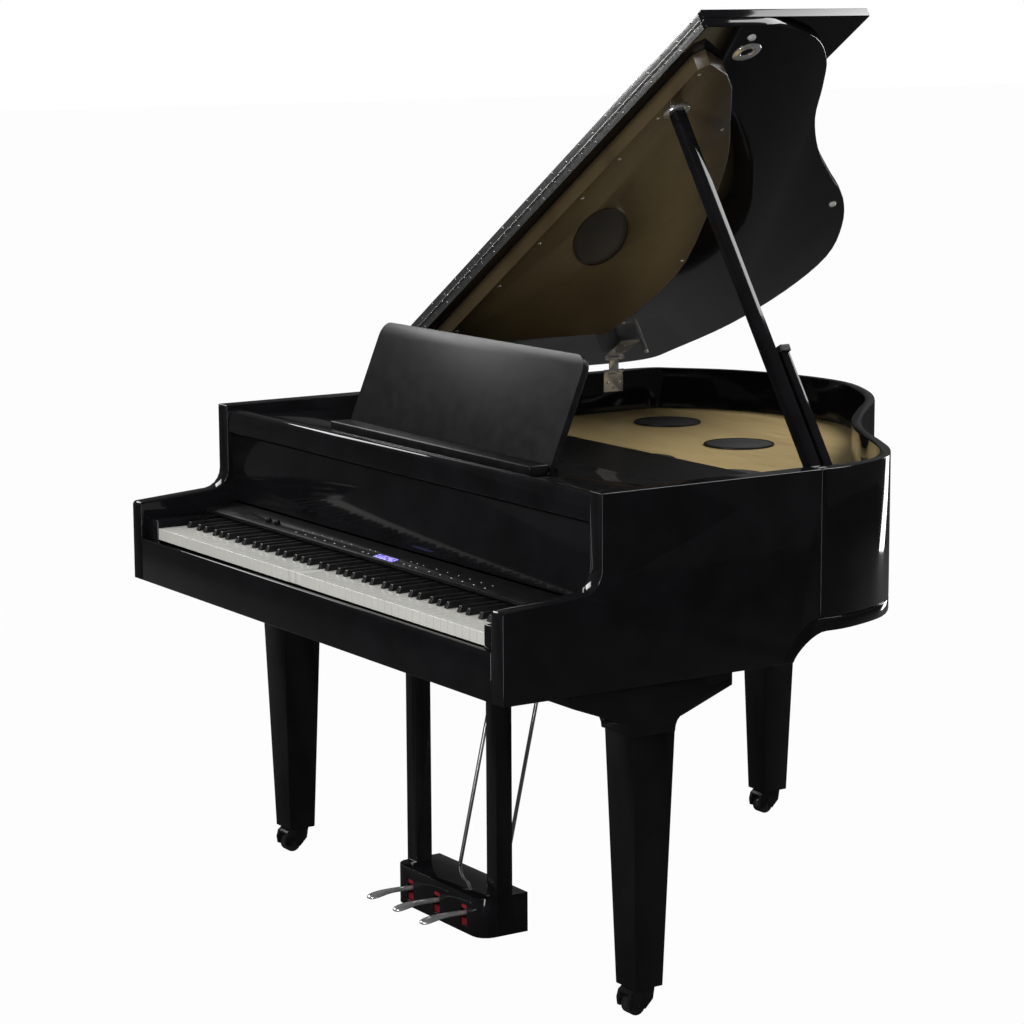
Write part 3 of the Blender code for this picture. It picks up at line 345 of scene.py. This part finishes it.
def mesh_material(name):
    """Black woven grille: a fine net of round holes."""
    hole = (0.002, 0.002, 0.002)
    thread = (0.02, 0.02, 0.02)
    material, nodes, links, shader = new_material(name)
    coords = nodes.new("ShaderNodeTexCoord")
    cells = nodes.new("ShaderNodeTexVoronoi")
    cells.inputs["Scale"].default_value = 420.0
    cells.inputs["Randomness"].default_value = 0.15
    links.new(coords.outputs["Object"], cells.inputs["Vector"])
    distance = cells.outputs["Distance"]
    links.new(ramp(nodes, links, distance, [(0.25, hole), (0.5, thread)]), shader.inputs["Base Color"])
    links.new(rough_from(nodes, links, distance, 0.9, 0.5), shader.inputs["Roughness"])
    bump(nodes, links, distance, shader, 0.6, 0.0006)
    return material


def glow_material(name, dark, light, strength, scale):
    """A lit screen or mark whose glow varies a little."""
    material, nodes, links, shader = new_material(name)
    value = noise(nodes, links, scale, (1.0, 2.5, 1.0))
    colour = ramp(nodes, links, value, [(0.42, dark), (0.60, light)])
    links.new(colour, shader.inputs["Base Color"])
    links.new(colour, shader.inputs["Emission Color"])
    shader.inputs["Emission Strength"].default_value = strength
    links.new(rough_from(nodes, links, value, 0.1, 0.2), shader.inputs["Roughness"])
    return material


def floor_material():
    """A pale floor: nearly white with a faint shadow for the camera, dark in mirrors."""
    dark = (0.055, 0.055, 0.055)
    light = (0.060, 0.060, 0.060)
    material, nodes, links, shader = new_material("pale_floor")
    value = noise(nodes, links, 2)
    links.new(ramp(nodes, links, value, [(0.35, dark), (0.65, light)]), shader.inputs["Base Color"])
    shader.inputs["Roughness"].default_value = 0.9
    shader.inputs["Specular IOR Level"].default_value = 0.1
    glow = nodes.new("ShaderNodeEmission")
    glow.inputs["Color"].default_value = (1, 1, 1, 1)
    path = nodes.new("ShaderNodeLightPath")
    share = nodes.new("ShaderNodeMath")
    share.operation = "MULTIPLY"
    share.inputs[1].default_value = FLOOR_WHITE
    mix = nodes.new("ShaderNodeMixShader")
    links.new(path.outputs["Is Camera Ray"], share.inputs[0])
    links.new(share.outputs[0], mix.inputs["Fac"])
    links.new(shader.outputs["BSDF"], mix.inputs[1])
    links.new(glow.outputs["Emission"], mix.inputs[2])
    links.new(mix.outputs["Shader"], nodes["Material Output"].inputs["Surface"])
    return material


ALONG_Y = math.radians(90)
EBONY = plain_material("ebony_lacquer", dark=(0.004, 0.004, 0.0045), light=(0.006, 0.006, 0.007),
                       rough=(0.05, 0.09), scale=14, level=0.30)
SATIN = plain_material("satin_black", dark=(0.006, 0.006, 0.006), light=(0.010, 0.010, 0.010),
                       rough=(0.34, 0.42), scale=40, level=0.20, grain=0.06)
IVORY = plain_material("key_white", dark=(0.54, 0.535, 0.50), light=(0.57, 0.565, 0.53),
                       rough=(0.22, 0.30), scale=12, stretch=(1, 4, 1))
SHARP = plain_material("key_black", dark=(0.006, 0.006, 0.006), light=(0.012, 0.012, 0.012),
                       rough=(0.28, 0.42), scale=60, level=0.35, grain=0.10, stretch=(4, 1, 1))
SOUNDBOARD = wood_material("soundboard_spruce", turn=(0, 0, ALONG_Y),
                           light=(0.42, 0.32, 0.15), dark=(0.31, 0.225, 0.10))
# The tone board is the soundboard's spruce with painted shade: its colours are painted about six times
# darker, as the shade under the lid
TONE_PAINTED_SHADE = wood_material("tone_board_spruce_painted_shade", turn=(0, LID_ANGLE, ALONG_Y),
                     light=(0.070, 0.050, 0.024), dark=(0.048, 0.032, 0.014))
CHROME = plain_material("chrome", dark=(0.70, 0.70, 0.71), light=(0.78, 0.78, 0.79),
                        rough=(0.16, 0.26), scale=50, metallic=0.8, grain=0.03)
NICKEL = plain_material("satin_nickel", dark=(0.50, 0.50, 0.50), light=(0.60, 0.60, 0.59),
                        rough=(0.24, 0.36), scale=120, metallic=1.0, grain=0.12)
MESH = mesh_material("grille_net")
SCREEN = glow_material("display_glow", dark=(0.05, 0.04, 0.30), light=(0.35, 0.30, 0.95), strength=1.2,
                       scale=160)
MARK = glow_material("touch_mark", dark=(0.55, 0.57, 0.60), light=(0.80, 0.82, 0.85), strength=0.25,
                     scale=300)
FELT = plain_material("crimson_felt", dark=(0.16, 0.006, 0.012), light=(0.26, 0.012, 0.020),
                      rough=(0.85, 0.98), scale=300, level=0.2, grain=0.8)
BUMPER = plain_material("bumper_white", dark=(0.62, 0.62, 0.60), light=(0.72, 0.72, 0.70),
                        rough=(0.4, 0.55), scale=80)
RUBBER = plain_material("wheel_black", dark=(0.012, 0.012, 0.012), light=(0.022, 0.022, 0.022),
                        rough=(0.30, 0.45), scale=60, grain=0.1)

SLOT_MATERIALS = {"ebony": EBONY, "satin_black": SATIN, "ivory": IVORY, "sharp": SHARP, "chrome": CHROME,
                  "nickel": NICKEL, "grille": MESH, "display": SCREEN, "wheel": RUBBER, "spruce": SOUNDBOARD}
BODY_NODES = frame["record"]["behaviour"]["bodies"]
NODE_SLOTS = {entry["node"]: entry["material_slot"] for entry in frame["record"]["subparts"]}
NODE_BODIES = {node: body for body, nodes in BODY_NODES.items() for node in nodes}


def finish_piece(name, bm, material, body, edge=0.0, segments=2):
    """Turn a bmesh into a piece that rides on a body."""
    bmesh.ops.recalc_face_normals(bm, faces=bm.faces)
    mesh = bpy.data.meshes.new(name)
    bm.to_mesh(mesh)
    bm.free()
    piece = bpy.data.objects.new(name, mesh)
    bpy.context.scene.collection.objects.link(piece)
    mesh.materials.append(material)
    if edge:
        bevel = piece.modifiers.new("edge", "BEVEL")
        bevel.width = edge
        bevel.segments = segments
        bevel.limit_method = "ANGLE"
        bevel.angle_limit = SMOOTH_ANGLE
        bevel.harden_normals = True
    mesh.shade_smooth()
    if not edge:
        mesh.set_sharp_from_angle(angle=SMOOTH_ANGLE)
    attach(piece, body)
    return piece


def dress_node(node):
    """The node's own shape with its edges broken, in its finished material."""
    source = frame["nodes"][node]
    bm = bmesh.new()
    bm.from_mesh(source.data)
    bm.transform(source.matrix_world)
    bmesh.ops.remove_doubles(bm, verts=bm.verts, dist=SAME_POINT)
    bmesh.ops.dissolve_limit(bm, angle_limit=FLAT_ANGLE, verts=bm.verts, edges=bm.edges)
    slot = NODE_SLOTS[node]
    # The tone board takes the spruce with painted shade, darker than the soundboard's
    material = TONE_PAINTED_SHADE if node == "tone_board" else SLOT_MATERIALS[slot]
    piece = finish_piece(node + "_finished", bm, material, NODE_BODIES[node], EDGES.get(node, EDGE))
    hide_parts(node)


def add_box(bm, low, high, matrix=None):
    """A box between two corners, added to the mesh."""
    size = Vector(high) - Vector(low)
    middle = (Vector(high) + Vector(low)) / 2
    place = Matrix.Translation(middle) @ Matrix.Diagonal((*size, 1))
    made = bmesh.ops.create_cube(bm, size=1.0, matrix=(matrix or Matrix.Identity(4)) @ place)
    return made["verts"]


def ellipse_points(across, along, steps):
    """Points round an ellipse about the origin."""
    angles = [2 * math.pi * step / steps for step in range(steps)]
    return [Vector((across * math.cos(angle), along * math.sin(angle), 0)) for angle in angles]


def join_rings(bm, rings, capped):
    """Faces between rings of vertices, capped at both ends or joined round from the last to the first."""
    following = rings[1:] if capped else rings[1:] + rings[:1]
    for lower, upper in zip(rings, following):
        for step in range(len(lower)):
            after = (step + 1) % len(lower)
            bm.faces.new((lower[step], lower[after], upper[after], upper[step]))
    if capped:
        bm.faces.new(rings[0][::-1])
        bm.faces.new(rings[-1])


def add_turned(bm, profile, place, steps, capped=True):
    """A shape turned about the place's Z axis, from pairs of radius and height."""
    rings = []
    for radius, height in profile:
        lift = Vector((0, 0, height))
        circle = ellipse_points(radius, radius, steps)
        rings.append([bm.verts.new(place @ (point + lift)) for point in circle])
    join_rings(bm, rings, capped)


def add_screw(bm, place, radius=SCREW_RADIUS, tall=SCREW_TALL):
    """A domed screw head whose axis is the place's Z."""
    point = 0.0004
    dome = [(radius * 0.8, tall * 0.75), (radius * 0.45, tall), (point, tall)]
    add_turned(bm, [(radius, 0), (radius, tall * 0.3), *dome], place, SCREW_STEPS)


def make_white_keys():
    """All white keys that don't move, with the rail behind them."""
    bm = bmesh.new()
    for index in range(WHITE_COUNT):
        if index in (MIDDLE_C, MIDDLE_C + 1):
            continue
        left = -KEYS_HALF + index * PITCH + KEY_GAP / 2
        right = left + PITCH - KEY_GAP
        add_box(bm, at(left, KEY_FRONT, WHITE_LOW), at(right, KEY_ROOT, WHITE_TOP))
    rail_half = KEYS_HALF - RAIL_INSET
    add_box(bm, at(-rail_half, KEY_ROOT + RAIL_NEAR, RAIL_LOW), at(rail_half, KEY_ROOT + RAIL_FAR, RAIL_TOP))
    piece = finish_piece("white_key_row", bm, IVORY, "case", WHITE_EDGE, KEY_SEGMENTS)
    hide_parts("white_keys")


def black_span(index):
    """The left and right side of the black key after a white key, if there is one."""
    letter = "ABCDEFG"[index % 7]
    if letter not in BLACK_OFFSETS or index == WHITE_COUNT - 1:
        return None
    middle = -KEYS_HALF + (index + 1) * PITCH + BLACK_OFFSETS[letter]
    return middle - BLACK_WIDTH / 2, middle + BLACK_WIDTH / 2


def add_black(bm, span, low):
    """One black key: sides and front that lean in to a narrower top."""
    inset = (BLACK_WIDTH - BLACK_TOP_WIDTH) / 2
    base = at(span[0], BLACK_FRONT, low)
    far = at(span[1], KEY_ROOT - BLACK_ROOT_GAP, BLACK_TOP)
    for vertex in add_box(bm, base, far):
        if vertex.co.z < (base.z + far.z) / 2:
            continue
        vertex.co.x += inset if vertex.co.x < base.x + BLACK_WIDTH / 2 else -inset
        if vertex.co.y < (base.y + far.y) / 2:
            vertex.co.y += BLACK_SLOPE


def make_black_keys():
    """The row of black keys, and the one that moves."""
    bm = bmesh.new()
    for index in range(WHITE_COUNT):
        span = black_span(index)
        if span and index != MIDDLE_C:
            add_black(bm, span, BLACK_LOW)
    piece = finish_piece("black_key_row", bm, SHARP, "case", BLACK_EDGE, KEY_SEGMENTS)
    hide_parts("black_keys")
    bm = bmesh.new()
    add_black(bm, black_span(MIDDLE_C), BLACK_MOVING_LOW)
    piece = finish_piece("c_sharp_key", bm, SHARP, "key_c_sharp4", BLACK_EDGE, KEY_SEGMENTS)
    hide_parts("key_c_sharp4")


def squared(value, power):
    """A sine or cosine pushed out towards its ends, which makes a round section squarer."""
    return math.copysign(abs(value) ** power, value)


def make_pedal(name):
    """A cast pedal, a slim shaft that swells to a round pad, and the felt above and below it."""
    low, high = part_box(f"{name}_pedal")
    middle = (low[0] + high[0]) / 2
    tip = low[1]
    bm = bmesh.new()
    rings = []
    for along, half, thick, rise in PEDAL_STATIONS:
        ring = []
        for point in ellipse_points(1, 1, PEDAL_STEPS):
            across = squared(point.x, PEDAL_SIDE_POWER) * half
            up = squared(point.y, PEDAL_TOP_POWER) * thick
            ring.append(bm.verts.new((middle + across, tip + along, PEDAL_LEVEL + rise + up)))
        rings.append(ring)
    join_rings(bm, rings, capped=True)
    piece = finish_piece(f"{name}_pedal_cast", bm, CHROME, f"{name}_pedal")
    smooth = piece.modifiers.new("smooth", "SUBSURF")
    smooth.levels = 1
    smooth.render_levels = 1
    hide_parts(f"{name}_pedal")
    bm = bmesh.new()
    front = FRONT_Y + FELT_FRONT
    for bottom, top in FELT_HEIGHTS:
        add_box(bm, (middle - FELT_HALF, front, bottom), (middle + FELT_HALF, front + FELT_DEEP, top))
    finish_piece(f"{name}_pedal_felt", bm, FELT, "case", FELT_EDGE)


def make_tone_board_screws():
    bm = bmesh.new()
    for x, y in [*((x, TONE_ROW_Y) for x in TONE_ROW_X), *TONE_OTHER_SCREWS]:
        add_screw(bm, under_lid(x, y, TONE_FACE))
    finish_piece("tone_board_screws", bm, CHROME, "lid")


def make_bumpers():
    bm = bmesh.new()
    for x, y, radius in BUMPERS:
        profile = [(radius, 0), (radius, 0.003), (radius * 0.8, 0.0055), (radius * 0.3, 0.0066)]
        add_turned(bm, profile, under_lid(x, y, 0), 20)
    finish_piece("lid_bumpers", bm, BUMPER, "lid")


def make_oval_ring():
    """A thin raised ring round the oval speaker grille."""
    bm = bmesh.new()
    turn = Matrix.Rotation(OVAL_TURN, 2)
    rings = []
    for grow, n in ((0, OVAL_INNER), (0, OVAL_FACE), (OVAL_WIDTH, OVAL_FACE), (OVAL_WIDTH, OVAL_OUTER)):
        ring = []
        for point in ellipse_points(OVAL_HALF[0] + grow, OVAL_HALF[1] + grow, ROUND_STEPS):
            place = OVAL_CENTRE + turn @ point.to_2d()
            ring.append(bm.verts.new(lid_at(place.x, place.y, n)))
        rings.append(ring)
    join_rings(bm, rings, capped=False)
    finish_piece("lid_grille_ring", bm, SATIN, "lid")


def make_long_hinge():
    """Knuckles and screws of the continuous hinge between lid and flap."""
    turn = LID_TURN @ Matrix.Rotation(math.pi / 2, 4, "Y")
    meshes = {"lid": bmesh.new(), "flap": bmesh.new()}
    long = 2 * (CASE_HALF - KNUCKLE_INSET) / KNUCKLE_COUNT
    profile = [(KNUCKLE_END_RADIUS, 0), (KNUCKLE_RADIUS, KNUCKLE_END),
               (KNUCKLE_RADIUS, long - KNUCKLE_GAP - KNUCKLE_END), (KNUCKLE_END_RADIUS, long - KNUCKLE_GAP)]
    for index in range(KNUCKLE_COUNT):
        body = ("lid", "flap")[index % 2]
        start = LID_FRAME @ Vector((KNUCKLE_INSET + index * long, KNUCKLE_Y, LID_THICK))
        add_turned(meshes[body], profile, Matrix.Translation(start) @ turn, KNUCKLE_STEPS)
    face = LID_TURN @ Matrix.Rotation(math.pi / 2, 4, "X")
    for body, middle in EDGE_LEAF_MIDDLES:
        for index in range(EDGE_SCREWS):
            along = EDGE_SCREW_FIRST + index * EDGE_SCREW_PITCH
            n = middle + (EDGE_SCREW_STAGGER if index % 2 else -EDGE_SCREW_STAGGER)
            spot = LID_FRAME @ Vector((along, EDGE_LEAF_FACE, n))
            add_screw(meshes[body], Matrix.Translation(spot) @ face, EDGE_SCREW_RADIUS, EDGE_SCREW_TALL)
        finish_piece(f"{body}_hinge_trim", meshes[body], NICKEL, body)


def make_hinge_screws():
    """Screws in the leaves of the two lid hinges."""
    case = bmesh.new()
    lid = bmesh.new()
    facing = Matrix.Rotation(math.pi / 2, 4, "Y")
    for side in ("front", "rear"):
        low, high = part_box(f"{side}_rim_leaf")
        middle = (low[1] + high[1]) / 2
        for across, up in RIM_LEAF_SCREWS:
            spot = (MIDDLE_X + RIM_LEAF_FACE, middle + across, up)
            add_screw(case, Matrix.Translation(spot) @ facing)
        for out, across in LID_LEAF_SCREWS:
            add_screw(lid, under_lid(out - CASE_HALF, middle + across - FRONT_Y, LID_LEAF_FACE))
    finish_piece("rim_leaf_screws", case, CHROME, "case")
    finish_piece("lid_leaf_screws", lid, CHROME, "lid")


def make_speaker_rims():
    """Rims round the two open speakers on the soundboard."""
    bm = bmesh.new()
    for number in (1, 2):
        low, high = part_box(f"speaker_grille_{number}")
        radius = (high[0] - low[0]) / 2
        place = Matrix.Translation(((low[0] + high[0]) / 2, (low[1] + high[1]) / 2, low[2]))
        outside = [(radius + RIM_WIDTH, 0), (radius + RIM_WIDTH, RIM_SIDE_TALL),
                   (radius + RIM_SHOULDER, RIM_SHOULDER_TALL)]
        inside = [(radius + RIM_GAP, RIM_TALL), (radius + RIM_GAP, 0)]
        add_turned(bm, outside + inside, place, ROUND_STEPS, capped=False)
    finish_piece("speaker_rims", bm, SATIN, "case")


def make_covered_grilles():
    """The two speakers that the inner cover half hides."""
    cover_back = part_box("inner_cover")[1][1] + COVER_GAP
    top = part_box("soundboard")[1][2]
    bm = bmesh.new()
    for x, y in COVERED_PLACES:
        centre = at(x, y, top + COVERED_LIFT)
        spots = [centre + point for point in ellipse_points(COVERED_RADIUS, COVERED_RADIUS, COVERED_STEPS)]
        points = sorted((spot for spot in spots if spot.y > cover_back), key=lambda spot: -spot.x)
        reach = math.sqrt(COVERED_RADIUS ** 2 - (cover_back - centre.y) ** 2)
        right = Vector((centre.x + reach, cover_back, centre.z))
        left = Vector((centre.x - reach, cover_back, centre.z))
        outline = [bm.verts.new(spot) for spot in (right, *points, left)]
        made = bmesh.ops.extrude_face_region(bm, geom=[bm.faces.new(outline)])
        raised = [item for item in made["geom"] if isinstance(item, bmesh.types.BMVert)]
        bmesh.ops.translate(bm, vec=(0, 0, COVERED_TALL), verts=raised)
    finish_piece("covered_grilles", bm, MESH, "case", COVERED_EDGE)


def make_panel_marks():
    """Touch marks and small lamps in rows on the control panel."""
    bm = bmesh.new()
    for x in MARK_PLACES:
        for y, half in MARK_ROWS:
            up = PANEL_FRONT_Z + (y - PANEL_FRONT_Y) * math.tan(PANEL_SLOPE)
            turn = Matrix.Translation(at(x, y, up)) @ Matrix.Rotation(PANEL_SLOPE, 4, "X")
            add_box(bm, (-half, -MARK_HALF_DEEP, MARK_LOW), (half, MARK_HALF_DEEP, MARK_TOP), turn)
    finish_piece("panel_marks", bm, MARK, "case")


def make_prop_cap():
    """A soft cap on the short prop's upper end."""
    low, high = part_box("short_prop")
    tip = Vector((low[0] + CAP_INSET, low[1] + CAP_INSET, high[2] - CAP_DROP))
    place = Matrix.Translation(tip) @ Matrix.Rotation(CAP_LEAN, 4, "Y")
    bm = bmesh.new()
    add_box(bm, (-CAP_HALF, -CAP_HALF, 0.0), (CAP_HALF, CAP_HALF, CAP_TALL), place)
    finish_piece("short_prop_cap", bm, RUBBER, "short_prop", CAP_EDGE)


def make_camera():
    data = bpy.data.cameras.new("camera")
    data.lens = CAMERA_LENS
    data.sensor_width = SENSOR
    camera = bpy.data.objects.new("camera", data)
    bpy.context.scene.collection.objects.link(camera)
    level = math.cos(CAMERA_PITCH)
    forward = Vector((-math.sin(CAMERA_YAW) * level, math.cos(CAMERA_YAW) * level, -math.sin(CAMERA_PITCH)))
    turn = forward.to_track_quat("-Z", "Y").to_matrix().to_4x4()
    roll = Matrix.Rotation(CAMERA_ROLL, 4, "Z")
    camera.matrix_world = Matrix.Translation(at(*CAMERA_PLACE)) @ turn @ roll
    bpy.context.scene.camera = camera


def make_floor():
    bm = bmesh.new()
    bmesh.ops.create_grid(bm, x_segments=8, y_segments=8, size=FLOOR_SIZE)
    mesh = bpy.data.meshes.new("floor")
    bm.to_mesh(mesh)
    bm.free()
    floor = bpy.data.objects.new("floor", mesh)
    bpy.context.scene.collection.objects.link(floor)
    mesh.materials.append(floor_material())


def make_room():
    """White to the camera, dim in mirrors and soft on the piano."""
    world = bpy.data.worlds.new("room")
    world.use_nodes = True
    nodes = world.node_tree.nodes
    links = world.node_tree.links
    back = nodes["Background"]
    back.inputs["Color"].default_value = (1, 1, 1, 1)
    path = nodes.new("ShaderNodeLightPath")
    level = None
    for ray, strength in (("Is Glossy Ray", ROOM_MIRRORED), ("Is Camera Ray", 1.0)):
        mix = nodes.new("ShaderNodeMix")
        mix.inputs["A"].default_value = ROOM_LIGHT
        mix.inputs["B"].default_value = strength
        links.new(path.outputs[ray], mix.inputs["Factor"])
        if level:
            links.new(level, mix.inputs["A"])
        level = mix.outputs["Result"]
    links.new(level, back.inputs["Strength"])
    bpy.context.scene.world = world


def add_panel(name, place, target, size, power):
    """A light panel that faces a point and draws the piano's edges."""
    data = bpy.data.lights.new(name, "AREA")
    data.shape = "RECTANGLE"
    data.size = size[0]
    data.size_y = size[1]
    data.energy = power
    light = bpy.data.objects.new(name, data)
    bpy.context.scene.collection.objects.link(light)
    light.location = place
    light.rotation_euler = (Vector(target) - Vector(place)).to_track_quat("-Z", "Y").to_euler()


make_camera()
make_room()
for panel in PANELS:
    add_panel(*panel)
make_floor()
for part_node in NODE_SLOTS:
    if part_node not in REBUILT:
        dress_node(part_node)
make_white_keys()
make_black_keys()
for pedal in ("left", "middle", "right"):
    make_pedal(pedal)
make_tone_board_screws()
make_bumpers()
make_oval_ring()
make_long_hinge()
make_hinge_screws()
make_speaker_rims()
make_covered_grilles()
make_panel_marks()
make_prop_cap()
bpy.context.scene.view_settings.view_transform = "Standard"
